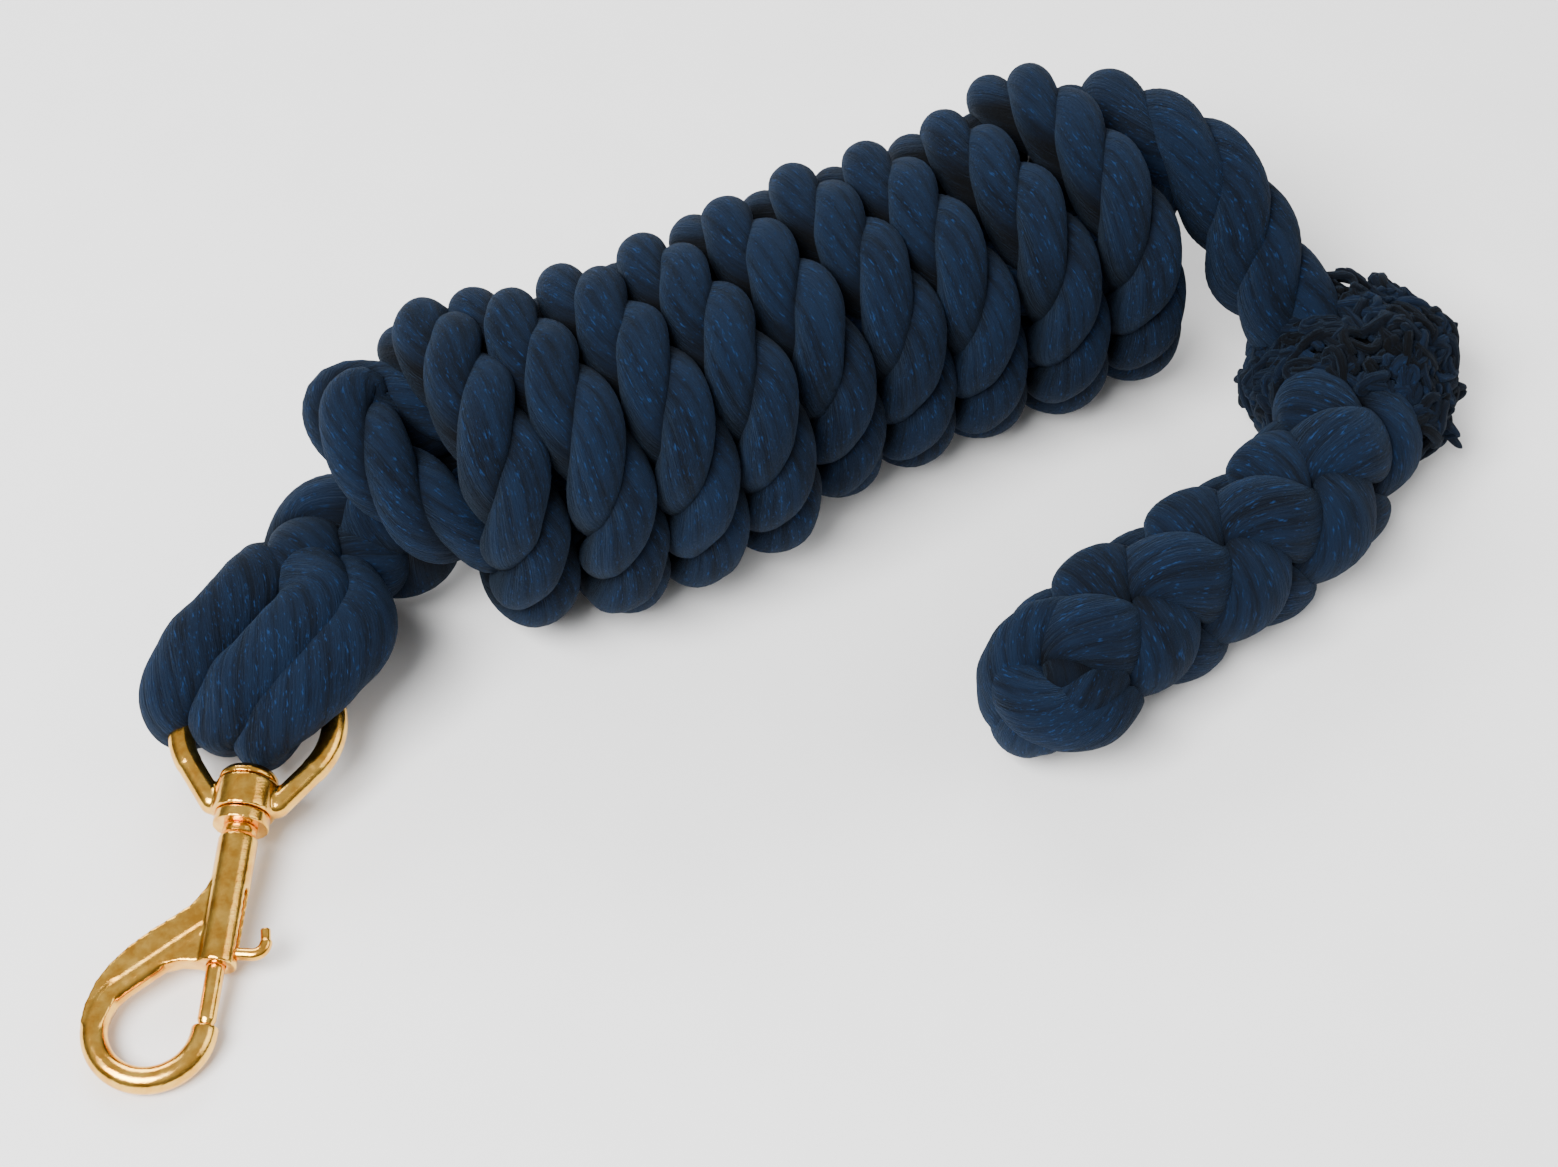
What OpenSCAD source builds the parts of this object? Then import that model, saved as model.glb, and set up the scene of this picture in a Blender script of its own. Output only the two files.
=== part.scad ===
// Horse lead rope: soft three-strand cotton, put up in a hank, with a swivel-eye bolt snap.
// It lies on a flat surface at z = 0. +X runs along the hank, from the snap's end to the tail's end.
// The origin is under the middle of the whole object's box. All lengths are in millimetres.

/* [Rope] */
// Diameter of the rope
rope_d = 18; // [17:0.5:19]
// Turns wound round the hank
turns = 10; // [8:1:10]
// Spacing of the turns along the hank, just over the rope's diameter because they cross it at a slant
turn_pitch = 18.7; // [18:0.1:18.8]
// Radius of the line that the turns follow
turn_r = 28; // [27:0.5:28.5]
// Depth that the turns flatten where they rest on the ground
rest_flat = 0.8; // [0.5:0.1:1.2]
// Radius of the doubled rope in the back splice
splice_r = 17.5; // [16:0.5:18]

/* [Swivel eye] */
// Inside diameter of the eye
eye_inner_d = 26.4; // [25:0.2:28]
// Diameter of the eye's bar
eye_bar_d = 5.6; // [5:0.2:6]
// Width of the boss that the rivet turns in
boss_d = 13; // [12:0.5:13.5]
// Direction that the snap points in, counted from +X
snap_yaw = -121; // [-125:1:-115]
// Angle that the snap slopes down to the ground
snap_pitch = 8.8; // [8:0.1:9]

/* [Rivet and washer] */
// Diameter of the rivet's shank
rivet_d = 4.4; // [4:0.1:4.8]
// Diameter of the rivet's domed head
rivet_head_d = 12.4; // [11:0.2:12.6]
// Diameter of the washer between the eye and the hook body
washer_d = 11.6; // [11:0.2:12]
// Thickness of the washer
washer_t = 2.6; // [2.2:0.1:2.8]

/* [Hook body] */
// Outside diameter of the barrel that holds the bolt
barrel_d = 8.2; // [7.8:0.1:9.4]
// Distance from the eye's centre to the barrel's open end
barrel_end = 54.5; // [54:0.5:56]
// Diameter of the neck next to the washer
neck_d = 7.2; // [6.8:0.1:8]
// Diameter of the hook's round bar
hook_bar_d = 5.6; // [5.2:0.2:6]
// Radius of the line that the hook's bend follows
hook_r = 11; // [10.5:0.5:11.5]
// Distance from the eye's centre to the centre of the hook's bend
hook_centre = 68.5; // [68.5:0.5:70]
// Thickness of the web between the barrel and the hook
web_t = 4.6; // [4:0.2:5]

/* [Bolt and lever] */
// Diameter of the sliding bolt
bolt_d = 3.8; // [3.4:0.1:4]
// Running clearance all round the bolt
bolt_gap = 0.06; // [0.04:0.01:0.1]
// Travel of the bolt from closed to open
bolt_travel = 12.5; // [11:0.5:12.5]
// Diameter of the thumb lever's stem
lever_d = 2.6; // [2.4:0.1:2.8]
// Diameter of the spring's wire
spring_wire = 0.5; // [0.4:0.05:0.6]
// Coils in the spring
spring_coils = 8; // [6:1:9]

/* [Hidden] */

// Middle of the hank on the ground, seen from the origin
hank_at = [41, 37.6, 0];
rope_r = rope_d / 2;
axis_z = turn_r + rope_r - rest_flat;
turns_length = turn_pitch * (turns - 1);
core_r = turn_r + 2;
// The folds of the runs inside fill the hank's ends
core_length = turns_length + rope_d - 4;
// Routes of the loose stretches, from the middle of the hank on the ground: x, y, z, radius
LOOSE_TURN = [[-84, 9.5, 45.5, 9], [-96, 12, 46, 9], [-104, 17, 48, 9], [-109, 19, 50, 9], [-112, 13, 51, 9],
    [-111, 4, 49, 9], [-108, -4, 45, 9], [-103, -11, 40, 9], [-96, -13, 35, 9], [-86, -11, 30, 9]];
EYE_SPLICE = [[-140, -6, 17.3, 11], [-134, 1, 17.3, 16], [-124, 7, 17.3, 17], [-112, 9, 18.5, 17],
    [-101, 7, 22, 15.5], [-88, 4, 28, 12]];
TAIL_ROPE = [[82, 7, 56.5, 9.4], [84.5, -3, 56, 9.4], [87, -11.5, 51, 9.4], [89.5, -19, 43, 9.4],
    [92, -26, 34, 9.4], [97, -32, 27, 9.4], [103, -38, 21, 9.4], [107, -44, 17.5, 9.2], [105, -49, 16.5, 9]];
BACK_SPLICE = [[101, -53, 17.8, 15], [92, -64, 17.8, 17.3], [74, -76, 17.8, splice_r],
    [48, -83, 17.8, splice_r], [24, -88, 17.8, 17.3], [2, -93, 17.8, 16.5]];
// The frayed collar where the back splice's three strands come out
COLLAR_AT = [108, -48.5, 20];
collar_yaw = -128;
collar_r = 23;
collar_half = 15;
knot_r = 18.3;
KNOT_AT = [-1, -94, 18.3];

// The eye's bar runs through the rope's bight at this point
BAR_AT = [-144.5, -13.4, 17.5];
bar_r = eye_bar_d / 2;
eye_r = eye_inner_d / 2 + bar_r;
bight_line = 10.5;
bight_thick = 7;
bight_wide = 10;

boss_in = 13.4;
boss_end = 20.6;
// Angle, from the boss, at which the eye's ring runs out into the straight arms
arm_from = 54;
arm_length = 10.4;
arm_r = bar_r - 0.15;
play = 0.2;
rivet_r = rivet_d / 2;
rivet_bore_r = rivet_r + 0.1;
rivet_end = 27;
washer_at = boss_end + play;
neck_at = washer_at + washer_t;
neck_end = 26;
chamber_end = rivet_end;
bore_r = bolt_d / 2 + bolt_gap;
hook_bar_r = hook_bar_d / 2;
// Angle round the bend at which the straight spine leaves it
spine_angle = 228;
spine_length = 20.5;
tip_face = 67.6;
bolt_nose = 67.3;
bolt_tail = 44;
lever_at = 51.4;
slot_w = lever_d + 0.4;
slot_end = 53;
slot_start = lever_at - lever_d / 2 - bolt_travel - 0.3;
lever_reach = 6.6;
lever_bend = 2.6;
lever_r = lever_d / 2;
sides = 12;
tube_steps = 4;

function unit(v) = v / norm(v);
function xyz(p) = [p[0], p[1], p[2]];
function at(route, i) = route[max(0, min(len(route) - 1, i))];
function blend(a, b, c, d, t) =
    0.5 * (2 * b + (c - a) * t + (2 * a - 5 * b + 4 * c - d) * t * t + (3 * b - a - 3 * c + d) * t * t * t);
function smooth(route) = [
    for (i = [0 : len(route) - 2])
        for (k = [0 : (i == len(route) - 2 ? tube_steps : tube_steps - 1)])
            blend(at(route, i - 1), at(route, i), at(route, i + 1), at(route, i + 2), k / tube_steps)
];
function heading(line, i) = unit(xyz(at(line, i + 1)) - xyz(at(line, i - 1)));
function square_to(n, h) = unit(n - (n * h) * h);
function side_ways(line) = [
    for (i = 0, n = square_to([0.3, 0.2, 1], heading(line, 0)); i < len(line);
        i = i + 1, n = square_to(n, heading(line, i))) n
];

// A tube along a route of points that each hold x, y, z and radius
module tube(route) {
    line = smooth(route);
    outward = side_ways(line);
    rings = len(line);
    points = [
        for (i = [0 : rings - 1], k = [0 : sides - 1])
            xyz(line[i]) + line[i][3] * (cos(360 * k / sides) * outward[i]
                + sin(360 * k / sides) * cross(heading(line, i), outward[i]))
    ];
    walls = [
        for (i = [0 : rings - 2], k = [0 : sides - 1])
            [i * sides + k, (i + 1) * sides + k, (i + 1) * sides + (k + 1) % sides,
                i * sides + (k + 1) % sides]
    ];
    start_cap = [[for (k = [0 : sides - 1]) k]];
    end_cap = [[for (k = [sides - 1 : -1 : 0]) (rings - 1) * sides + k]];
    polyhedron(points, concat(walls, start_cap, end_cap));
}

// Lays its children along +X, from a lathe shape about +Z
module along_x() rotate([0, 90, 0]) children();

// A round rod along +X
module rod(start, end, radius, detail = 48) {
    translate([start, 0, 0]) along_x() cylinder(h = end - start, r = radius, $fn = detail);
}

// The snap's own frame: +X runs from the eye's centre to the hook, +Y to the lever's side
module snap_frame() {
    translate(hank_at + BAR_AT)
        rotate([0, 0, snap_yaw])
            rotate([0, snap_pitch, 0])
                translate([eye_r, 0, 0])
                    children();
}

module ground_cut() {
    intersection() {
        children();
        translate([-400, -400, 0]) cube([800, 800, 200]);
    }
}

module hank() {
    color("midnightblue")
        ground_cut()
            translate(hank_at + [0, 0, axis_z])
                along_x()
                    union() {
                        for (i = [0 : turns - 1])
                            translate([0, 0, i * turn_pitch - turns_length / 2])
                                rotate_extrude($fn = 96) translate([turn_r, 0]) circle(rope_r, $fn = 48);
                        cylinder(h = core_length, r = core_r, center = true, $fn = 96);
                    }
}

module loose_turn() { color("navy") translate(hank_at) tube(LOOSE_TURN); }

module eye_splice() { color("darkslateblue") translate(hank_at) tube(EYE_SPLICE); }

// The flattened loop of rope round the eye's bar
module eye_bight() {
    color("midnightblue")
        snap_frame()
            translate([-eye_r, 0, 0])
                rotate([-90, 0, 0])
                    rotate_extrude($fn = 64)
                        polygon([for (a = [10 : 20 : 350])
                            [bight_line + bight_thick * cos(a), bight_wide * sin(a)]]);
}

module tail_rope() { color("navy") translate(hank_at) tube(TAIL_ROPE); }

// One strand's frayed end: a third of the collar, cut square to the rope
module strand_tail(number) {
    third = 2 * collar_half / 3;
    swell = number == 2 ? 0 : 4;
    color("royalblue")
        ground_cut()
            translate(hank_at + COLLAR_AT)
                rotate([0, 0, collar_yaw])
                    along_x()
                        translate([0, 0, (number - 2) * third])
                            rotate_extrude($fn = 64)
                                polygon([[0, -third / 2], [collar_r - swell - 2, -third / 2],
                                    [collar_r - swell, -third / 5], [collar_r - swell, third / 5],
                                    [collar_r - swell - 2, third / 2], [0, third / 2]]);
}

module strand_tail_1() strand_tail(1);
module strand_tail_2() strand_tail(2);
module strand_tail_3() strand_tail(3);

module back_splice() { color("darkslateblue") translate(hank_at) tube(BACK_SPLICE); }

module crown_knot() { color("midnightblue") translate(hank_at + KNOT_AT) sphere(knot_r, $fn = 64); }

// One straight arm of the eye. It starts just inside the ring and is a little thinner than it
module eye_arm() {
    overlap = 1;
    rotate([0, 0, arm_from])
        translate([eye_r, overlap, 0])
            rotate([90, 0, 0])
                union() {
                    cylinder(h = arm_length + overlap, r = arm_r, $fn = 32);
                    translate([0, 0, arm_length + overlap]) sphere(arm_r, $fn = 32);
                }
}

module swivel_eye() {
    color("goldenrod")
        snap_frame()
            difference() {
                union() {
                    rotate([0, 0, arm_from])
                        rotate_extrude(angle = 360 - 2 * arm_from, start = 0, $fn = 96)
                            translate([eye_r, 0]) circle(bar_r, $fn = 32);
                    eye_arm();
                    mirror([0, 1, 0]) eye_arm();
                    rod(boss_in, boss_end, boss_d / 2, 64);
                }
                rod(boss_in - 2, boss_end + 2, rivet_bore_r);
            }
}

// Domed head inside the eye, shank pressed into the neck
module swivel_rivet() {
    head_at = boss_in - play;
    color("gold")
        snap_frame()
            along_x()
                rotate_extrude($fn = 64)
                    polygon([[0, rivet_end], [rivet_r, rivet_end], [rivet_r, head_at],
                        [rivet_head_d / 2, head_at], [rivet_head_d / 2, head_at - 1.1],
                        [rivet_head_d * 0.42, head_at - 2.3], [rivet_head_d * 0.26, head_at - 3.1],
                        [0, head_at - 3.4]]);
}

module swivel_washer() {
    color("darkgoldenrod")
        snap_frame()
            translate([washer_at, 0, 0])
                along_x()
                    difference() {
                        cylinder(h = washer_t, d = washer_d, $fn = 64);
                        translate([0, 0, -1]) cylinder(h = washer_t + 2, r = rivet_r, $fn = 48);
                    }
}

// The bend of the hook, from its tip round to the spine
module hook_bend() {
    translate([hook_centre, -hook_r, 0])
        rotate([180, 0, 90])
            rotate_extrude(angle = spine_angle, start = 0, $fn = 96)
                translate([hook_r, 0]) circle(hook_bar_r, $fn = 32);
}

// The straight spine starts just inside the bend and is a little thinner than it
module hook_spine() {
    overlap = 1;
    translate([hook_centre, -hook_r, 0])
        rotate([0, 0, 90 - spine_angle])
            translate([hook_r, overlap, 0])
                rotate([90, 0, 0])
                    cylinder(h = spine_length + overlap, r = hook_bar_r - 0.15, $fn = 32);
}

module hook_web() {
    translate([0, 0, -web_t / 2])
        linear_extrude(web_t)
            polygon([[28, 0], [28, -2.4], [34, -3.2], [38, -4.4], [42, -6.8], [45, -10.2], [48, -13.8],
                [52, -17.9], [56, -21], [60, -23.1], [65, -24.4], [69, -24.6], [69, -20], [62, -18],
                [58, -15], [56, -11], [barrel_end, -7], [barrel_end, 0]]);
}

module hook_body() {
    color("goldenrod")
        snap_frame()
            difference() {
                union() {
                    rod(neck_at, neck_end + 2, neck_d / 2);
                    rod(neck_end, barrel_end, barrel_d / 2, 64);
                    rod(tip_face, hook_centre, hook_bar_r, 32);
                    hook_bend();
                    hook_spine();
                    hook_web();
                }
                rod(neck_at - 1, rivet_end, rivet_r);
                rod(chamber_end, barrel_end + 1, bore_r);
                translate([slot_start, 0, -slot_w / 2]) cube([slot_end - slot_start, barrel_d, slot_w]);
            }
}

spring_r = bore_r - 0.2 - spring_wire / 2;

function coil_point(turn, height) =
    [chamber_end + 0.5 + spring_wire / 2 + turn / spring_coils * height,
        spring_r * cos(360 * turn), spring_r * sin(360 * turn)];

// The compression spring behind the bolt, a wire swept along its helix
module bolt_spring() {
    height = bolt_tail - chamber_end - 1 - spring_wire;
    per_turn = 14;
    rings = spring_coils * per_turn;
    wire_sides = 6;
    line = [for (i = [0 : rings]) coil_point(i / per_turn, height)];
    points = [
        for (i = [0 : rings], k = [0 : wire_sides - 1])
            let (out = unit([0, line[i][1], line[i][2]]))
                line[i] + spring_wire / 2 * (cos(360 * k / wire_sides) * out
                    + sin(360 * k / wire_sides) * cross(heading(line, i), out))
    ];
    walls = [
        for (i = [0 : rings - 1], k = [0 : wire_sides - 1])
            [i * wire_sides + k, (i + 1) * wire_sides + k, (i + 1) * wire_sides + (k + 1) % wire_sides,
                i * wire_sides + (k + 1) % wire_sides]
    ];
    start_cap = [[for (k = [0 : wire_sides - 1]) k]];
    end_cap = [[for (k = [wire_sides - 1 : -1 : 0]) rings * wire_sides + k]];
    color("silver") snap_frame() polyhedron(points, concat(walls, start_cap, end_cap));
}

module bolt() {
    nose = 1.2;
    color("gold")
        snap_frame()
            difference() {
                along_x()
                    rotate_extrude($fn = 64)
                        polygon([[0, bolt_tail], [bolt_d / 2, bolt_tail], [bolt_d / 2, bolt_nose - nose],
                            [bolt_d / 2 - 0.5, bolt_nose], [0, bolt_nose]]);
                lever_root();
            }
}

// The end of the lever's stem that is pressed into the bolt
module lever_root() {
    translate([lever_at, 0, 0])
        rotate([-90, 0, 0])
            cylinder(h = bolt_d, r = lever_r - 0.3, $fn = 32);
}

// The curled thumb lever, its stem pressed into the bolt
module thumb_lever() {
    color("gold")
        snap_frame()
            union() {
                lever_root();
                translate([lever_at, bolt_d / 2 + 0.15, 0])
                    rotate([-90, 0, 0])
                        cylinder(h = lever_reach - bolt_d / 2 - 0.15, r = lever_r, $fn = 32);
                translate([lever_at - lever_bend, lever_reach, 0])
                    rotate_extrude(angle = 100, start = 0, $fn = 96)
                        translate([lever_bend, 0]) circle(lever_r, $fn = 32);
                translate([lever_at - lever_bend, lever_reach + lever_bend, 0])
                    rotate([0, 0, 10])
                        rotate([0, -90, 0])
                            cylinder(h = 3.2, r = lever_r - 0.25, $fn = 32);
            }
}

hank();
loose_turn();
eye_splice();
eye_bight();
tail_rope();
strand_tail_1();
strand_tail_2();
strand_tail_3();
back_splice();
crown_knot();
swivel_eye();
swivel_rivet();
swivel_washer();
hook_body();
bolt_spring();
bolt();
thumb_lever();
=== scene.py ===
import math

import bmesh
import bpy
import numpy as np
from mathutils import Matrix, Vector


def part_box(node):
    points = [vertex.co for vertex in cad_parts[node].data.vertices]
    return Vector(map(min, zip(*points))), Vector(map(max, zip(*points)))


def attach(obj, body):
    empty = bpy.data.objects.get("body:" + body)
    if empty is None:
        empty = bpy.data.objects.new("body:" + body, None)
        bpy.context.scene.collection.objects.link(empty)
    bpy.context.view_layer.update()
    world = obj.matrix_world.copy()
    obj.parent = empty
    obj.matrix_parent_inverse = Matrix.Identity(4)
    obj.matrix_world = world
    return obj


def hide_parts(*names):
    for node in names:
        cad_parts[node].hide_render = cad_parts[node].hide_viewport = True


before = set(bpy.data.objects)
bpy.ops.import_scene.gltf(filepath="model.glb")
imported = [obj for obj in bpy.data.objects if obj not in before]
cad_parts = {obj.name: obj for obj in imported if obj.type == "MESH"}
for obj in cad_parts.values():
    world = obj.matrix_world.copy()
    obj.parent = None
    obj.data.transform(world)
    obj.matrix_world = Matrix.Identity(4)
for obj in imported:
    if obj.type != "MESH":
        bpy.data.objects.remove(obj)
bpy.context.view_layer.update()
MM = 0.001
FULL = 2 * math.pi
# Height at which the rope's underside rests, just off the ground
REST_GAP = 0.2 * MM

low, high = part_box("hank")
MIDDLE = np.array([(low[0] + high[0]) / 2, (low[1] + high[1]) / 2, 0.0])


# ---------------------------------------------------------------- camera
def make_camera():
    """Looks at the hank from the front left, from 50 degrees above the ground."""
    azimuth, elevation, distance = math.radians(-27), math.radians(50), 0.700
    back = Vector((
        math.sin(azimuth) * math.cos(elevation),
        -math.cos(azimuth) * math.cos(elevation),
        math.sin(elevation),
    ))
    data = bpy.data.cameras.new("camera")
    data.lens = 72.4
    data.sensor_width = 36
    camera = bpy.data.objects.new("camera", data)
    bpy.context.scene.collection.objects.link(camera)
    camera.location = Vector(MIDDLE) + Vector((-0.032, -0.030, 0)) + back * distance
    camera.rotation_euler = back.to_track_quat("Z", "Y").to_euler()
    bpy.context.scene.camera = camera


make_camera()


# ---------------------------------------------------------------- shader tools
def new_material(name):
    material = bpy.data.materials.new(name)
    material.use_nodes = True
    nodes, links = material.node_tree.nodes, material.node_tree.links
    return material, nodes, links, nodes["Principled BSDF"]


def node(nodes, kind, **values):
    made = nodes.new(kind)
    for key, value in values.items():
        setattr(made, key, value)
    return made


def maths(nodes, links, operation, first, second=None):
    made = node(nodes, "ShaderNodeMath", operation=operation)
    for slot, value in enumerate((first, second)):
        if value is None:
            continue
        if isinstance(value, (int, float)):
            made.inputs[slot].default_value = value
        else:
            links.new(value, made.inputs[slot])
    return made.outputs[0]


def stretched_noise(nodes, links, vector, scale, detail=3.0, roughness=0.55):
    """Noise over a vector that is first scaled along each of its axes."""
    mapping = node(nodes, "ShaderNodeMapping")
    mapping.inputs["Scale"].default_value = scale
    links.new(vector, mapping.inputs["Vector"])
    made = node(nodes, "ShaderNodeTexNoise")
    made.inputs["Scale"].default_value = 1.0
    made.inputs["Detail"].default_value = detail
    made.inputs["Roughness"].default_value = roughness
    links.new(mapping.outputs["Vector"], made.inputs["Vector"])
    return made.outputs["Fac"]


def ramp(nodes, links, value, stops):
    made = node(nodes, "ShaderNodeValToRGB")
    elements = made.color_ramp.elements
    while len(elements) < len(stops):
        elements.new(0.5)
    for element, (place, colour) in zip(elements, stops):
        element.position = place
        element.color = (*colour, 1)
    links.new(value, made.inputs["Fac"])
    return made.outputs["Color"]


def mix(nodes, links, factor, first, second, blend_type="MIX"):
    made = node(nodes, "ShaderNodeMix", data_type="RGBA", blend_type=blend_type)
    for slot, value in ((0, factor), (6, first), (7, second)):
        if isinstance(value, (int, float)):
            made.inputs[slot].default_value = value
        elif isinstance(value, tuple):
            made.inputs[slot].default_value = (*value, 1)
        else:
            links.new(value, made.inputs[slot])
    return made.outputs[2]


def bump(nodes, links, height, distance, normal=None):
    made = node(nodes, "ShaderNodeBump")
    made.inputs["Distance"].default_value = distance
    made.inputs["Strength"].default_value = 1.0
    links.new(height, made.inputs["Height"])
    if normal is not None:
        links.new(normal, made.inputs["Normal"])
    return made.outputs["Normal"]


def yarn_material(name, groove_shade, dark, lit, painted_glint, yarns=9):
    """Soft spun cotton. It reads two attributes of the piece: lay, the place along a strand and round
    its twisting yarns, and proud, how far the surface stands out of the grooves."""
    material, nodes, links, shader = new_material(name)
    lay = node(nodes, "ShaderNodeAttribute", attribute_name="lay").outputs["Vector"]
    proud = node(nodes, "ShaderNodeAttribute", attribute_name="proud").outputs["Fac"]
    axes = node(nodes, "ShaderNodeSeparateXYZ")
    links.new(lay, axes.inputs[0])
    angle = maths(nodes, links, "ARCTAN2", axes.outputs[2], axes.outputs[1])
    wave = maths(nodes, links, "SINE", maths(nodes, links, "MULTIPLY", angle, yarns / 2))
    yarn = maths(nodes, links, "ABSOLUTE", wave)
    fibres = stretched_noise(nodes, links, lay, (260, 2600, 2600), 4.0, 0.65)
    streaks = stretched_noise(nodes, links, lay, (110, 900, 900), 2.0)
    patches = stretched_noise(nodes, links, lay, (45, 160, 160), 2.0)
    glint_spots = stretched_noise(nodes, links, lay, (900, 1900, 1900), 2.0, 0.6)

    tone = maths(nodes, links, "MULTIPLY", fibres, 0.5)
    tone = maths(nodes, links, "ADD", tone, maths(nodes, links, "MULTIPLY", patches, 0.5))
    tone = maths(nodes, links, "ADD", tone, maths(nodes, links, "MULTIPLY", yarn, 0.12))
    colour = ramp(nodes, links, tone, ((0.45, dark), (0.65, lit)))
    # Painted highlights: spots of bright blue glint, only on the proud tops and at most at half
    # strength there
    shine = ramp(nodes, links, glint_spots, ((0.60, (0, 0, 0)), (0.76, (1, 1, 1))))
    on_top = ramp(nodes, links, proud, ((0.3, (0, 0, 0)), (0.8, (0.5,) * 3)))
    shine = mix(nodes, links, 1.0, shine, on_top, "MULTIPLY")
    colour = mix(nodes, links, shine, colour, painted_glint)
    # Painted shade: where the surface is not proud, in the grooves and crevices, the colour goes to
    # near-black
    groove = ramp(nodes, links, proud, ((0.15, (0, 0, 0)), (0.92, (1, 1, 1))))
    colour = mix(nodes, links, groove, groove_shade, colour)
    links.new(colour, shader.inputs["Base Color"])

    height = maths(nodes, links, "ADD", maths(nodes, links, "MULTIPLY", yarn, 0.3),
                   maths(nodes, links, "MULTIPLY", streaks, 0.9))
    normal = bump(nodes, links, height, 0.0004)
    normal = bump(nodes, links, fibres, 0.0006, normal)
    links.new(normal, shader.inputs["Normal"])
    shader.inputs["Roughness"].default_value = 0.92
    shader.inputs["Specular IOR Level"].default_value = 0.12
    shader.inputs["Sheen Weight"].default_value = 0.06
    shader.inputs["Sheen Roughness"].default_value = 0.45
    shader.inputs["Sheen Tint"].default_value = (0.25, 0.45, 0.8, 1)
    return material


def metal_material(name, colour, worn, roughness, grain=0.00002):
    """Plated metal: a little mottled, darker in patches, with a faint cast or buffed grain."""
    material, nodes, links, shader = new_material(name)
    place = node(nodes, "ShaderNodeTexCoord").outputs["Object"]
    clouds = stretched_noise(nodes, links, place, (260, 260, 260), 4.0, 0.6)
    fine = stretched_noise(nodes, links, place, (2200, 2200, 2200), 2.0)
    scratches = stretched_noise(nodes, links, place, (300, 4200, 900), 3.0)
    tint = ramp(nodes, links, clouds, ((0.35, worn), (0.62, colour)))
    links.new(tint, shader.inputs["Base Color"])
    shader.inputs["Metallic"].default_value = 1.0
    rough = maths(nodes, links, "MULTIPLY", clouds, 0.16)
    rough = maths(nodes, links, "ADD", rough, maths(nodes, links, "MULTIPLY", scratches, 0.08))
    rough = maths(nodes, links, "ADD", rough, roughness - 0.1)
    links.new(rough, shader.inputs["Roughness"])
    uneven = stretched_noise(nodes, links, place, (420, 420, 420), 1.0)
    normal = bump(nodes, links, uneven, 0.00004)
    normal = bump(nodes, links, maths(nodes, links, "ADD", fine, scratches), grain, normal)
    links.new(normal, shader.inputs["Normal"])
    return material


# Colours in order: near-black painted shade for the grooves, dark, lit, bright blue painted glints
ROPE = yarn_material("rope_cotton", (0.0002, 0.0003, 0.0006), (0.0010, 0.0025, 0.0062),
                     (0.0026, 0.0080, 0.0215), (0.010, 0.048, 0.16))
FRAY = yarn_material("frayed_cotton", (0.0002, 0.0003, 0.0006), (0.0012, 0.0030, 0.0076),
                     (0.0036, 0.0115, 0.0320), (0.013, 0.060, 0.19), yarns=4)
BRASS = metal_material("bright_brass", (0.93, 0.54, 0.10), (0.72, 0.33, 0.04), 0.16)
STEEL = metal_material("spring_wire", (0.62, 0.62, 0.63), (0.45, 0.45, 0.47), 0.3)


# ---------------------------------------------------------------- mesh tools
def unit(vectors):
    return vectors / np.linalg.norm(vectors, axis=-1, keepdims=True)


def evenly(points, step):
    """Points a step apart on a smooth line through the given ones, whatever columns they have."""
    points = np.asarray(points, float)
    padded = np.vstack([2 * points[0] - points[1], points, 2 * points[-1] - points[-2]])
    t = np.linspace(0, 1, 16, endpoint=False)[:, None]
    parts = []
    for a, b, c, d in zip(padded, padded[1:], padded[2:], padded[3:]):
        parts.append(0.5 * (2 * b + (c - a) * t + (2 * a - 5 * b + 4 * c - d) * t**2
                            + (3 * b - a - 3 * c + d) * t**3))
    dense = np.vstack([*parts, points[-1:]])
    along = np.concatenate([[0], np.cumsum(np.linalg.norm(np.diff(dense[:, :3], axis=0), axis=1))])
    count = max(2, int(round(along[-1] / step)) + 1)
    places = np.linspace(0, along[-1], count)
    return np.stack([np.interp(places, along, column) for column in dense.T], 1)


def lengths(line):
    return np.concatenate([[0], np.cumsum(np.linalg.norm(np.diff(line, axis=0), axis=1))])


def frames(line, first=(0.0, 0.0, 1.0)):
    """Heading and two square directions at each point, carried along the line without twist."""
    heading = unit(np.gradient(line, axis=0))
    side = np.empty_like(heading)
    ahead = np.array(first)
    for i, h in enumerate(heading):
        ahead = ahead - (ahead @ h) * h
        ahead = ahead / np.linalg.norm(ahead)
        side[i] = ahead
    return heading, side, np.cross(heading, side)


def lumps(along, angle, size, spacing, seed):
    """Slow unevenness over a strand, the same each run: sums of waves that close round the strand."""
    dice = np.random.default_rng(seed)
    total = np.zeros(np.broadcast(along, angle).shape)
    for _ in range(9):
        total += np.sin(FULL * along / (spacing * dice.uniform(0.5, 2.2)) + dice.integers(-2, 3) * angle
                        + dice.uniform(0, FULL))
    return size * total / 3


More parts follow.
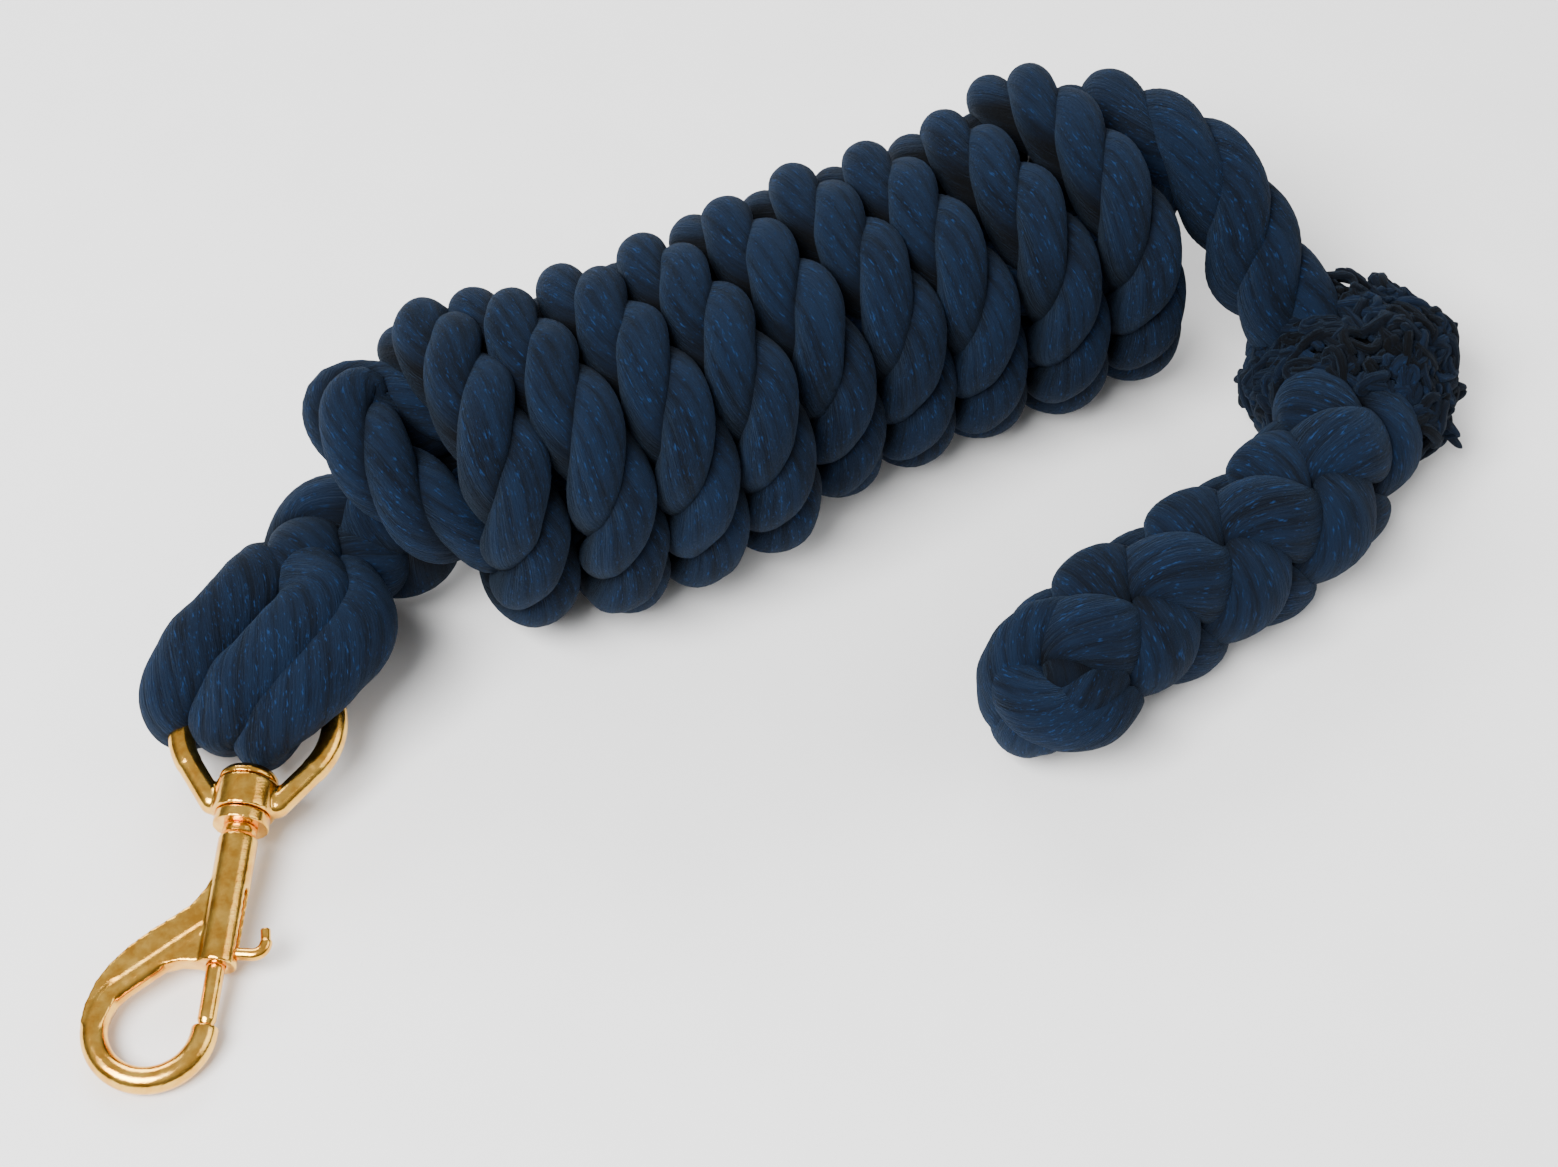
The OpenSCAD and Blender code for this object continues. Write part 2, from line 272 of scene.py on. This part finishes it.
def grid_mesh(name, rings, material, lay, proud):
    """A closed tube through rings of points, with rounded-off ends, as a smooth-shaded piece."""
    count, sides = rings.shape[:2]
    points = rings.reshape(-1, 3)
    ends = np.vstack([rings[0].mean(0), rings[-1].mean(0)])
    points = np.vstack([points, ends])
    points[:, 2] = np.maximum(points[:, 2], REST_GAP)
    i, k = np.meshgrid(np.arange(count - 1), np.arange(sides), indexing="ij")
    a, b = i * sides + k, i * sides + (k + 1) % sides
    quads = np.stack([a, b, b + sides, a + sides], -1).reshape(-1, 4)
    ring = np.arange(sides)
    first = np.stack([np.full(sides, count * sides), (ring + 1) % sides, ring], 1)
    base = (count - 1) * sides
    last = np.stack([np.full(sides, count * sides + 1), base + ring, base + (ring + 1) % sides], 1)
    mesh = build_mesh(name, points, quads, np.vstack([first, last]))
    store(mesh, "lay", np.vstack([lay.reshape(-1, 3), lay[0].mean(0), lay[-1].mean(0)]))
    store(mesh, "proud", np.concatenate([proud.ravel(), [0.5, 0.5]]))
    return piece(name, mesh, material)


def build_mesh(name, points, quads, triangles):
    mesh = bpy.data.meshes.new(name)
    loops = np.concatenate([quads.ravel(), triangles.ravel()])
    sizes = np.concatenate([np.full(len(quads), 4), np.full(len(triangles), 3)])
    starts = np.concatenate([[0], np.cumsum(sizes)[:-1]])
    mesh.vertices.add(len(points))
    mesh.vertices.foreach_set("co", points.astype(np.float32).ravel())
    mesh.loops.add(len(loops))
    mesh.loops.foreach_set("vertex_index", loops.astype(np.int32))
    mesh.polygons.add(len(sizes))
    mesh.polygons.foreach_set("loop_start", starts.astype(np.int32))
    mesh.update(calc_edges=True)
    mesh.validate()
    mesh.polygons.foreach_set("use_smooth", np.ones(len(sizes), bool))
    return mesh


def store(mesh, name, values):
    values = np.asarray(values, np.float32)
    if values.ndim == 2:
        mesh.attributes.new(name, "FLOAT_VECTOR", "POINT").data.foreach_set("vector", values.ravel())
    else:
        mesh.attributes.new(name, "FLOAT", "POINT").data.foreach_set("value", values)


def piece(name, mesh, material):
    made = bpy.data.objects.new(name, mesh)
    bpy.context.scene.collection.objects.link(made)
    mesh.materials.append(material)
    return made


YARN_RIDGE = 0.05 * MM
LAY_RADIUS = 5 * MM


def strand(line, turn, out, thick, wide, first=(0.0, 0.0, 1.0), sides=30, twist=0.0, seed=1,
           rough=0.022, grooves=(5.6 * MM, 9.0 * MM), yarns=7):
    """Rings, lay and proud of one strand that turns round a rope's line.

    out is how far its middle is from the line. thick and wide are its half sizes, away from the line
    and across. twist is how far its yarns turn in a metre, against the rope's own lay. grooves are the
    distances from the line where a groove ends and where the surface is fully proud."""
    _, side, cross = frames(line, first)
    offset = (out * np.cos(turn))[:, None] * side + (out * np.sin(turn))[:, None] * cross
    centre = line + offset
    away = np.cos(turn)[:, None] * side + np.sin(turn)[:, None] * cross
    heading = unit(np.gradient(centre, axis=0))
    away = unit(away - (away * heading).sum(1)[:, None] * heading)
    beside = np.cross(heading, away)
    along = lengths(line)[:, None]
    angle = np.linspace(0, FULL, sides, endpoint=False)[None, :]
    yarn_angle = angle + twist * along
    bulge = 1 + lumps(along, yarn_angle, rough, 14 * MM, seed)
    ridges = YARN_RIDGE * (np.abs(np.sin(yarn_angle * yarns / 2)) - 0.6)
    reach_out = np.broadcast_to(thick, len(line))[:, None] * bulge + ridges
    reach_side = np.broadcast_to(wide, len(line))[:, None] * bulge + ridges
    rings = (centre[:, None] + (reach_out * np.cos(angle))[..., None] * away[:, None]
             + (reach_side * np.sin(angle))[..., None] * beside[:, None])
    # Where the cotton's noise is read: along the strand, and round it at one radius
    lay = np.stack([np.broadcast_to(along * 1.1 + seed * 0.37, yarn_angle.shape),
                    LAY_RADIUS * np.cos(yarn_angle), LAY_RADIUS * np.sin(yarn_angle)], -1)
    distance = np.linalg.norm(rings - line[:, None], axis=2)
    proud = np.clip((distance - grooves[0]) / (grooves[1] - grooves[0]), 0, 1)
    return rings, lay, proud


# ---------------------------------------------------------------- the rope's line
LAY = 47 * MM
# How far a strand's middle is from the rope's line, and its radius
STRAND_OUT = 4.4 * MM
STRAND_R = 5.3 * MM
# The turns in millimetres, from the hank's middle: their spacing, where they start, their radius and
# the height of their axis
TURN_PITCH = 18.9
TURN_START = -88.6
TURN_R = 27.6
AXIS_Z = 36.2
# The two lines of each pair of runs inside the hank are this far from its axis
RUN_APART = 9.2
# Routes of the loose stretches in part.scad, from the middle of the hank on the ground: x, y, z, radius
LOOSE_TURN = [[-84, 9.5, 45.5, 9], [-96, 12, 46, 9], [-104, 17, 48, 9], [-109, 19, 50, 9],
              [-112, 13, 51, 9], [-111, 4, 49, 9], [-108, -4, 45, 9], [-103, -11, 40, 9],
              [-96, -13, 35, 9], [-86, -11, 30, 9]]
EYE_SPLICE = [[-140, -6, 17.3, 11], [-134, 1, 17.3, 16], [-124, 7, 17.3, 17], [-112, 9, 18.5, 17],
              [-101, 7, 22, 15.5], [-88, 4, 28, 12]]
TAIL_ROPE = [[82, 7, 56.5, 9.4], [84.5, -3, 56, 9.4], [87, -11.5, 51, 9.4], [89.5, -19, 43, 9.4],
             [92, -26, 34, 9.4], [97, -32, 27, 9.4], [103, -38, 21, 9.4], [107, -44, 17.5, 9.2],
             [105, -49, 16.5, 9]]
BACK_SPLICE = [[101, -53, 17.8, 15], [92, -64, 17.8, 17.3], [74, -76, 17.8, 17.5],
               [48, -83, 17.8, 17.5], [24, -88, 17.8, 17.3], [2, -93, 17.8, 16.5]]


def placed(route):
    """A route in metres, in the row frame."""
    route = np.array(route, float) * MM
    route[:, :3] += MIDDLE
    return route


def hank_turns():
    """The turns round the hank. They bow backwards past the middle, draw in at the waist and at both
    ends, and two near the tail's end ride up at the back."""
    dice = np.random.default_rng(7)
    wander = dice.uniform(-0.7, 0.7, 14)
    points = []
    for degrees in range(-60, 3210, 10):
        psi = math.radians(degrees)
        turn = psi / FULL
        x = TURN_START + TURN_PITCH * (turn - 0.25) + np.interp(turn, range(14), wander)
        x = max(x + 2.6 * min(max((turn - 6.6) / 2, 0), 1), -90)
        to_tail = min(max((x - 62) / 18, 0), 1) ** 1.2
        radius = TURN_R + 1.2 * math.cos(4 * psi - math.pi) - 2.5 * math.exp(-(((x - 15) / 38) ** 2))
        low_front = 0.5 + 0.5 * math.cos(psi - math.radians(135))
        radius -= 3.5 * min(max((-72 - x) / 12, 0), 1) * low_front + 8 * to_tail
        at_back = 0.5 + 0.5 * math.cos(psi + math.radians(53))
        radius += 3.5 * at_back**2 / (1 + math.exp(-(turn - 7.3) * 9)) * (1 - to_tail)
        bow = np.interp(x, (-90, -60, -35, -10, 84), (0, -3.5, -2.5, 4.5, 5.5))
        points.append([x, bow - radius * math.sin(psi), AXIS_Z + radius * math.cos(psi)])
    return points


def rope_route():
    """Control points of the whole rope from the eye splice to the tail's collar, in millimetres: two
    runs through the hank, the loop at its end, two more runs, the turns round them, and the tail."""
    def out_and_back(level):
        out = [[x, -RUN_APART, level] for x in range(-66, 67, 22)]
        fold = [[66 + RUN_APART * math.sin(a), -RUN_APART * math.cos(a), level]
                for a in np.radians([30, 60, 90, 120, 150])]
        return out + fold + [[x, RUN_APART, level] for x in range(66, -67, -22)]

    points = [[-88, 4, 28], [-78, -4, 37]] + out_and_back(AXIS_Z + RUN_APART)
    points += [p[:3] for p in LOOSE_TURN]
    points += out_and_back(AXIS_Z - RUN_APART)
    points += [[-76, 13, 27], [-85, 20, 30], [-91, 25, 38]]
    # The softened tail leans out a little past its CAD tube
    lean = np.interp(range(len(TAIL_ROPE)), (0, 2, 5, 8), (0, 3.2, 2.5, 0))
    tail = [[x + out, y, z] for (x, y, z, _), out in zip(TAIL_ROPE, lean)]
    return points + hank_turns() + tail


ROPE_LINE = evenly(placed(rope_route()), 1.1 * MM)
along_rope = lengths(ROPE_LINE)
ROPE_LENGTH = float(along_rope[-1])
# The strands bulge outwards where the turns press together: the side away from the hank's axis
HANK_AXIS = MIDDLE + np.array([0, 3, AXIS_Z]) * MM
_, rope_side, rope_cross = frames(ROPE_LINE)
outward = ROPE_LINE - HANK_AXIS
outward[:, 0] = 0
far = np.linalg.norm(outward, axis=1)
in_turns = np.clip((far - 20 * MM) / (5 * MM), 0, 1)
in_turns *= np.abs(ROPE_LINE[:, 0] - MIDDLE[0]) < 92 * MM
outward = outward / far[:, None] * in_turns[:, None]
# The lay opens along the tail
to_end = ROPE_LENGTH - along_rope
opened = 1 + 0.20 * np.clip((130 * MM - to_end) / (45 * MM), 0, 1)
opened += 0.10 * np.clip((60 * MM - to_end) / (40 * MM), 0, 1)
for number in range(3):
    turn = FULL * along_rope / LAY + FULL * number / 3 + 0.6
    away = np.cos(turn)[:, None] * rope_side + np.sin(turn)[:, None] * rope_cross
    facing = (away * outward).sum(1)
    rings, lay, proud = strand(ROPE_LINE, turn, STRAND_OUT * opened + 0.75 * MM * facing,
                               STRAND_R * (opened + 0.03 * facing), STRAND_R * (opened + 0.06 * facing),
                               twist=FULL / (25 * MM), seed=number + 1, rough=0.035)
    # Painted shade in the crevices between the turns: proud is lowered where the surface stands little
    # above the rope's own line
    from_axis = np.linalg.norm((rings - HANK_AXIS)[..., 1:], axis=-1)
    above = np.clip((from_axis - far[:, None] - 2.2 * MM) / (4.5 * MM), 0, 1)
    proud = np.minimum(proud, 1 - in_turns[:, None] * (1 - above))
    made = grid_mesh(f"strand_{number + 1}", rings, ROPE, lay, proud)
    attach(made, "rope")
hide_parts("hank", "loose_turn", "tail_rope")


# ---------------------------------------------------------------- splices
def plait(name, route, lay_length, facing, seed, dome=0.0, first=(0.0, 0.0, 1.0)):
    """A spliced stretch: three strands with the lay and three tucked against it, over and under."""
    line = evenly(placed(route), 1.0 * MM)
    radius, line = line[:, 3], line[:, :3]
    s = lengths(line)
    if dome:
        left = np.clip((s[-1] - s) / dome, 0, 1)
        shrink = np.sqrt(np.clip(1 - (1 - left) ** 2, 0, 1))
    else:
        shrink = np.ones(len(s))
    thick = radius * 0.28 * (0.55 + 0.45 * shrink)
    wide = radius * 0.46 * (0.45 + 0.55 * shrink)
    swing = radius * 0.19 * shrink
    mean = (radius - thick - swing) * shrink
    made = []
    for number in range(6):
        hand = 1 if number < 3 else -1
        turn = hand * FULL * s / lay_length + FULL * number / 3 + facing
        out = mean + hand * swing * np.cos(3 * FULL * s / lay_length)
        rings, lay, proud = strand(line, turn, out, thick, wide, first, sides=36,
                                   twist=FULL / (36 * MM), seed=seed + number, rough=0.03,
                                   grooves=(11.5 * MM, 17 * MM), yarns=11)
        part = grid_mesh(f"{name}_{number + 1}", rings, ROPE, lay, proud)
        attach(part, "rope")
        made.append(part)
    return made


eye_parts = plait("eye_splice_strand", EYE_SPLICE, 78 * MM, math.radians(75), 20)
back_route = BACK_SPLICE[:-1] + [[6, -92.5, 17.8, 16.5], [-6, -94.5, 17.8, 15.5]]
back_route = [[x, y + np.interp(x, (20, 60), (1.9, 0.6)), z, r * 1.08] for x, y, z, r in back_route]
back_parts = plait("back_splice_strand", back_route, 78 * MM, math.radians(-15), 40, dome=12 * MM)
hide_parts("eye_splice")
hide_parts("back_splice")


def make_crown():
    """The crown knot: three strands that bend over the rope's end, each one over the next."""
    middle = MIDDLE + np.array([3, -94, 17.5]) * MM
    out = unit(np.array([-0.98, -0.18, 0.0]))
    up = np.array([0.0, 0.0, 1.0])
    beside = np.cross(out, up)
    made = []
    for number in range(3):
        turn = FULL * number / 3 + 0.35
        across = math.cos(turn) * up + math.sin(turn) * beside
        shift = -math.sin(turn) * up + math.cos(turn) * beside
        line = []
        for u in np.linspace(-1, 1, 45):
            bend = math.radians(104) * u
            reach = (11.5 + 1.7 * u) * MM
            over = math.sin(bend) * across + math.cos(bend) * out
            tuck = 5 * MM * max(0, abs(u) - 0.8) / 0.2
            line.append(middle + 3.9 * MM * shift + reach * over - tuck * out)
        line = evenly(line, 0.9 * MM)
        count = len(line)
        taper = np.sqrt(np.clip(np.sin(np.linspace(0.12, math.pi - 0.12, count)), 0.1, 1))
        rings, lay, proud = strand(line, np.zeros(count), np.zeros(count), 6.9 * MM * taper,
                                   7.4 * MM * taper, tuple(out), sides=34, twist=FULL / (45 * MM),
                                   seed=70 + number, rough=0.03, grooves=(2 * MM, 6 * MM))
        part = grid_mesh(f"crown_strand_{number + 1}", rings, ROPE, lay, np.maximum(proud, 0.6))
        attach(part, "rope")
        made.append(part)
    return made


crown_parts = make_crown()
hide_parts("crown_knot")


# ---------------------------------------------------------------- the bight round the eye's bar
YAW, PITCH = math.radians(-121), math.radians(8.8)
AHEAD = np.array([math.cos(PITCH) * math.cos(YAW), math.cos(PITCH) * math.sin(YAW), -math.sin(PITCH)])
BESIDE = np.array([-math.sin(YAW), math.cos(YAW), 0.0])
UPWARD = np.cross(AHEAD, BESIDE)
BAR = MIDDLE + np.array([-144.5, -13.4, 17.5]) * MM


def from_bar(points):
    """Points given in millimetres as (ahead, beside, upward) from the middle of the eye's bar."""
    points = np.atleast_2d(np.array(points, float)) * MM
    return BAR + points[:, :1] * AHEAD + points[:, 1:2] * BESIDE + points[:, 2:] * UPWARD


# The eye's front end, in millimetres ahead of the middle of its bar
EYE_FRONT = 16
# Each strand of the bight over the eye's bar, down through the eye and back under: places ahead of,
# beside and above the eye's front end, and the strand's radius, in millimetres
BIGHT = [
    [[-36, 12, 3, 6], [-29, 17, 6, 7.6], [-20, 19, 8.5, 8.6], [-11, 15, 9.5, 9], [-3, 8, 7.5, 8.6],
     [1.5, 2, 2, 7.6], [0, 1, -5, 6.6], [-8, 3, -9.5, 6], [-20, 4, -9.5, 6], [-34, 4, -7, 6]],
    [[-38, 4, 6, 6], [-31, 8, 8.5, 7.6], [-23, 10, 10.5, 8.4], [-14, 5, 11, 8.8], [-6, -2, 8.5, 8.6],
     [-0.5, -8, 3, 7.4], [-2, -8, -4.5, 6.4], [-9, -4, -9.5, 6], [-21, -3, -9.5, 6], [-35, -2, -7, 6]],
    [[-36, -3, 6, 6.5], [-28, -5, 9, 7.6], [-20, -9, 10, 8], [-11, -14.5, 8.5, 7.8],
     [-3.5, -18.8, 3.8, 6.8], [-1.5, -18, -4, 5.6], [-7, -13, -9.5, 5.6], [-18, -9, -10, 6],
     [-32, -5, -8, 6]],
]


def make_bight():
    made = []
    for number, route in enumerate(BIGHT):
        route = np.array(route, float)
        points = np.hstack([from_bar(route[:, :3] + [EYE_FRONT, 0, 0]), route[:, 3:] * MM])
        line = evenly(points, 0.9 * MM)
        radius, line = line[:, 3], line[:, :3]
        count = len(line)
        rings, lay, proud = strand(line, np.zeros(count), np.zeros(count), radius * 0.86, radius,
                                   tuple(UPWARD), sides=36, twist=FULL / (40 * MM), seed=60 + number,
                                   rough=0.035, yarns=11, grooves=(2 * MM, 6 * MM))
        part = grid_mesh(f"bight_strand_{number + 1}", rings, ROPE, lay, np.maximum(proud, 0.6))
        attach(part, "rope")
        made.append(part)
    return made


bight_parts = make_bight()
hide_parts("eye_bight")


# ---------------------------------------------------------------- the frayed collar
COLLAR = MIDDLE + np.array([108, -48.5, 19]) * MM
COLLAR_YAW = math.radians(-128)
COLLAR_AXIS = np.array([math.cos(COLLAR_YAW), math.sin(COLLAR_YAW), 0.0])
COLLAR_SIDE = np.array([-math.sin(COLLAR_YAW), math.cos(COLLAR_YAW), 0.0])
UP = np.array([0.0, 0.0, 1.0])


def yarn_tube(points, radii, sides=7):
    _, side, cross = frames(points)
    angle = np.linspace(0, FULL, sides, endpoint=False)[None, :, None]
    rings = points[:, None] + radii[:, None, None] * (np.cos(angle) * side[:, None]
                                                       + np.sin(angle) * cross[:, None])
    return rings


def many_tubes(name, tubes, material):
    """One piece made of many closed yarn tubes, each with its rings, length and how lit it is."""
    points, quads, triangles, lay, proud, start = [], [], [], [], [], 0
    for number, (rings, along, tone) in enumerate(tubes):
        count, sides = rings.shape[:2]
        i, k = np.meshgrid(np.arange(count - 1), np.arange(sides), indexing="ij")
        a, b = i * sides + k, i * sides + (k + 1) % sides
        quads.append(start + np.stack([a, b, b + sides, a + sides], -1).reshape(-1, 4))
        ring, middle = np.arange(sides), count * sides
        base = (count - 1) * sides
        triangles.append(start + np.stack([np.full(sides, middle), (ring + 1) % sides, ring], 1))
        triangles.append(start + np.stack([np.full(sides, middle + 1), base + ring,
                                           base + (ring + 1) % sides], 1))
        points += [rings.reshape(-1, 3), rings[:1].mean(1), rings[-1:].mean(1)]
        angle = FULL * ring / sides
        run = np.repeat(np.linspace(0, along, count), sides)
        around = np.tile(angle, count)
        place = np.stack([run + number * 0.11, 0.0012 * np.cos(around), 0.0012 * np.sin(around)], 1)
        lay += [place, place[:1], place[-1:]]
        # Painted shade: each tube is darker towards its first end, at half its tone there
        shade_tone = tone * np.repeat(np.linspace(0.5, 1, count), sides)
        proud += [shade_tone, [0.5 * tone], [tone]]
        start += count * sides + 2
    points = np.vstack(points)
    points[:, 2] = np.maximum(points[:, 2], 0.0003)
    mesh = build_mesh(name, points, np.vstack(quads), np.vstack(triangles))
    store(mesh, "lay", np.vstack(lay))
    store(mesh, "proud", np.concatenate(proud))
    return piece(name, mesh, material)


TUFT_R = 19 * MM
TUFT_LENGTH = 27 * MM
CURLS = 150


def on_tuft(u, phi, height):
    """Points at a distance u along the collar's axis, turned phi round it, height above the mass. The
    mass is flatter on top, fuller on its closed side, and uneven."""
    u, phi, height = (np.asarray(v, float) for v in (u, phi, height))
    radius = TUFT_R * np.sqrt(np.clip(1 - (u / TUFT_LENGTH) ** 2, 0.1, 1)) + height
    radius = radius - 4.5 * MM * np.maximum(np.cos(phi), 0) + 4.5 * MM * np.maximum(-np.sin(phi), 0)
    radius = radius + 1.1 * MM * np.sin(3 * phi + u / (5 * MM))
    radius = radius + 0.8 * MM * np.sin(5 * phi - u / (3 * MM))
    out = np.cos(phi)[..., None] * UP + np.sin(phi)[..., None] * COLLAR_SIDE
    return COLLAR + u[..., None] * COLLAR_AXIS + radius[..., None] * out


def make_tuft(number):
    """The frayed end of one strand: a matted mass covered with curled yarn ends, some of which stand
    out in short clumps."""
    dice = np.random.default_rng(90 + number)
    middle = (number - 2) * 11 * MM
    half = 8 * MM
    t = np.linspace(-1, 1, 13)[:, None]
    phi = np.linspace(0, FULL, 40, endpoint=False)[None, :]
    sink = 4 * MM * np.abs(t) ** 4
    body = on_tuft(np.broadcast_to(middle + half * t, (13, 40)), np.broadcast_to(phi, (13, 40)),
                   -1.2 * MM - sink + lumps(half * t + 0 * phi, phi + 0 * t, 1.0 * MM, 7 * MM, number))
    # The matted mass gets a low tone, so it takes the near-black painted shade under the curls
    tubes = [(body, 2 * half, 0.12)]
    t = np.linspace(0, 1, 15)
    rounded = np.sqrt(np.clip(1 - (2 * t - 1) ** 8, 0.03, 1))
    for _ in range(CURLS):
        start, run = dice.uniform(-half, half), dice.uniform(-8, 8) * MM
        around, sweep = dice.uniform(0, FULL), dice.uniform(-0.55, 0.55)
        waves = dice.uniform(0.5, 1.6, 2)
        phases = dice.uniform(0, FULL, 3)
        u = middle + start + run * t + 2.2 * MM * np.sin(FULL * waves[0] * t + phases[0])
        angle = around + sweep * t + 0.14 * np.sin(FULL * waves[1] * t + phases[1])
        arch = dice.uniform(0, 1.8) * np.sin(math.pi * t)
        height = (0.6 + arch + 0.7 * np.sin(FULL * t + phases[2])) * MM
        line = on_tuft(u, angle, height)
        thick = dice.uniform(0.9, 1.45) * MM
        tone = dice.uniform(0.2, 1.0) ** 1.3
        tubes.append((yarn_tube(line, thick * rounded), lengths(line)[-1], tone))
    # Clumps that stand out: round the collar from its top, along it, and how far
    for at, shift, reach in CLUMPS[number]:
        lean, twist = dice.uniform(-3, 3) * MM, dice.uniform(-0.12, 0.12)
        for _ in range(6):
            own = dice.uniform(0.6, 1.0)
            u = middle + shift * MM + dice.normal(0, 1.3) * MM + lean * t**2
            angle = at + dice.normal(0, 0.07) + twist * t
            angle = angle + 0.08 * np.sin(math.pi * t + dice.uniform(0, FULL))
            line = on_tuft(u, angle, (-2 + (reach + 2) * own * t) * MM)
            thick = dice.uniform(0.9, 1.4) * MM
            radii = thick * np.sqrt(np.clip(1 - t**5, 0.03, 1))
            tubes.append((yarn_tube(line, radii), reach * MM, dice.uniform(0.15, 0.7)))
    made = many_tubes(f"tuft_{number}", tubes, FRAY)
    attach(made, "rope")
    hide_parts(f"strand_tail_{number}")
    return made


# The clumps of each tuft: angle from the top towards the open side, place along, reach in millimetres
CLUMPS = {
    1: [(-1.9, 2, 6), (0.2, -2, 4), (1.2, 0, 5), (-0.9, 2, 3), (2.3, 0, 4)],
    2: [(-1.75, 2, 6), (0.45, 0, 5), (1.0, 3, 5), (1.65, 0, 7), (2.1, 2, 4)],
    3: [(-1.4, 0, 5), (0.8, -3, 4), (1.35, 0, 6), (1.8, -2, 8), (2.2, 0, 4)],
}
tufts = [make_tuft(number) for number in (1, 2, 3)]


# ---------------------------------------------------------------- the snap
def cast(name, node_name, body, voxel, rounds):
    """A cast piece in place of a CAD node: its joins and edges melted into small fillets."""
    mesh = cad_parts[node_name].data.copy()
    shape = bmesh.new()
    shape.from_mesh(mesh)
    bmesh.ops.remove_doubles(shape, verts=shape.verts, dist=1e-6)
    shape.to_mesh(mesh)
    shape.free()
    made = bpy.data.objects.new(name, mesh)
    bpy.context.scene.collection.objects.link(made)
    remesh = made.modifiers.new("even", "REMESH")
    remesh.mode = "VOXEL"
    remesh.voxel_size = voxel
    soften = made.modifiers.new("fillets", "SMOOTH")
    soften.factor = 0.5
    soften.iterations = rounds
    shown = made.evaluated_get(bpy.context.evaluated_depsgraph_get())
    smoothed = bpy.data.meshes.new_from_object(shown)
    made.modifiers.clear()
    made.data = smoothed
    smoothed.polygons.foreach_set("use_smooth", np.ones(len(smoothed.polygons), bool))
    smoothed.materials.clear()
    smoothed.materials.append(BRASS)
    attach(made, body)
    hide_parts(node_name)


for name, node_name, body, voxel, rounds in (
    ("cast_eye", "swivel_eye", "eye", 0.32 * MM, 12),
    ("cast_hook", "hook_body", "hook", 0.32 * MM, 12),
    ("rivet", "swivel_rivet", "hook", 0.22 * MM, 6),
    ("washer", "swivel_washer", "hook", 0.22 * MM, 6),
    ("bolt_pin", "bolt", "bolt", 0.2 * MM, 3),
    ("lever", "thumb_lever", "bolt", 0.2 * MM, 5),
):
    cast(name, node_name, body, voxel, rounds)
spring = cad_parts["bolt_spring"]
spring.data.materials.clear()
spring.data.materials.append(STEEL)


# ---------------------------------------------------------------- floor and light
def make_floor():
    material, nodes, links, shader = new_material("pale_floor")
    place = node(nodes, "ShaderNodeTexCoord").outputs["Object"]
    grain = stretched_noise(nodes, links, place, (40, 40, 40), 2.0)
    links.new(ramp(nodes, links, grain, ((0.3, (0.86, 0.86, 0.86)), (0.7, (0.88, 0.88, 0.88)))),
              shader.inputs["Base Color"])
    shader.inputs["Roughness"].default_value = 0.8
    half = 2.5
    mesh = bpy.data.meshes.new("floor")
    mesh.from_pydata([(-half, -half, 0), (half, -half, 0), (half, half, 0), (-half, half, 0)], [],
                     [(0, 1, 2, 3)])
    piece("floor", mesh, material)


def make_lamp(name, place, aim, size, power, colour=(1, 1, 1)):
    data = bpy.data.lights.new(name, "AREA")
    data.shape = "RECTANGLE"
    data.size, data.size_y = size
    data.energy = power
    data.color = colour
    lamp = bpy.data.objects.new(name, data)
    bpy.context.scene.collection.objects.link(lamp)
    lamp.location = place
    lamp.rotation_euler = (Vector(place) - Vector(aim)).to_track_quat("Z", "Y").to_euler()


make_floor()
make_lamp("key", (-0.8, -0.35, 1.15), (0, 0, 0), (0.9, 0.7), 56)
make_lamp("fill", (1.1, -0.6, 0.9), (0, 0, 0), (0.9, 0.9), 8)
make_lamp("rim", (0.2, 1.3, 1.0), (0, 0, 0), (1.2, 0.6), 20)
world = bpy.data.worlds.new("soft_sky")
bpy.context.scene.world = world
world.use_nodes = True
sky, sky_links = world.node_tree.nodes, world.node_tree.links
way = node(sky, "ShaderNodeSeparateXYZ")
sky_links.new(node(sky, "ShaderNodeTexCoord").outputs["Generated"], way.inputs[0])
# Dim towards the horizon, as in a studio with dark walls
shade = ramp(sky, sky_links, way.outputs[2],
             ((0.0, (0.22,) * 3), (0.35, (0.34,) * 3), (0.75, (1.0,) * 3)))
sky_links.new(shade, sky["Background"].inputs["Color"])
sky["Background"].inputs["Strength"].default_value = 0.62
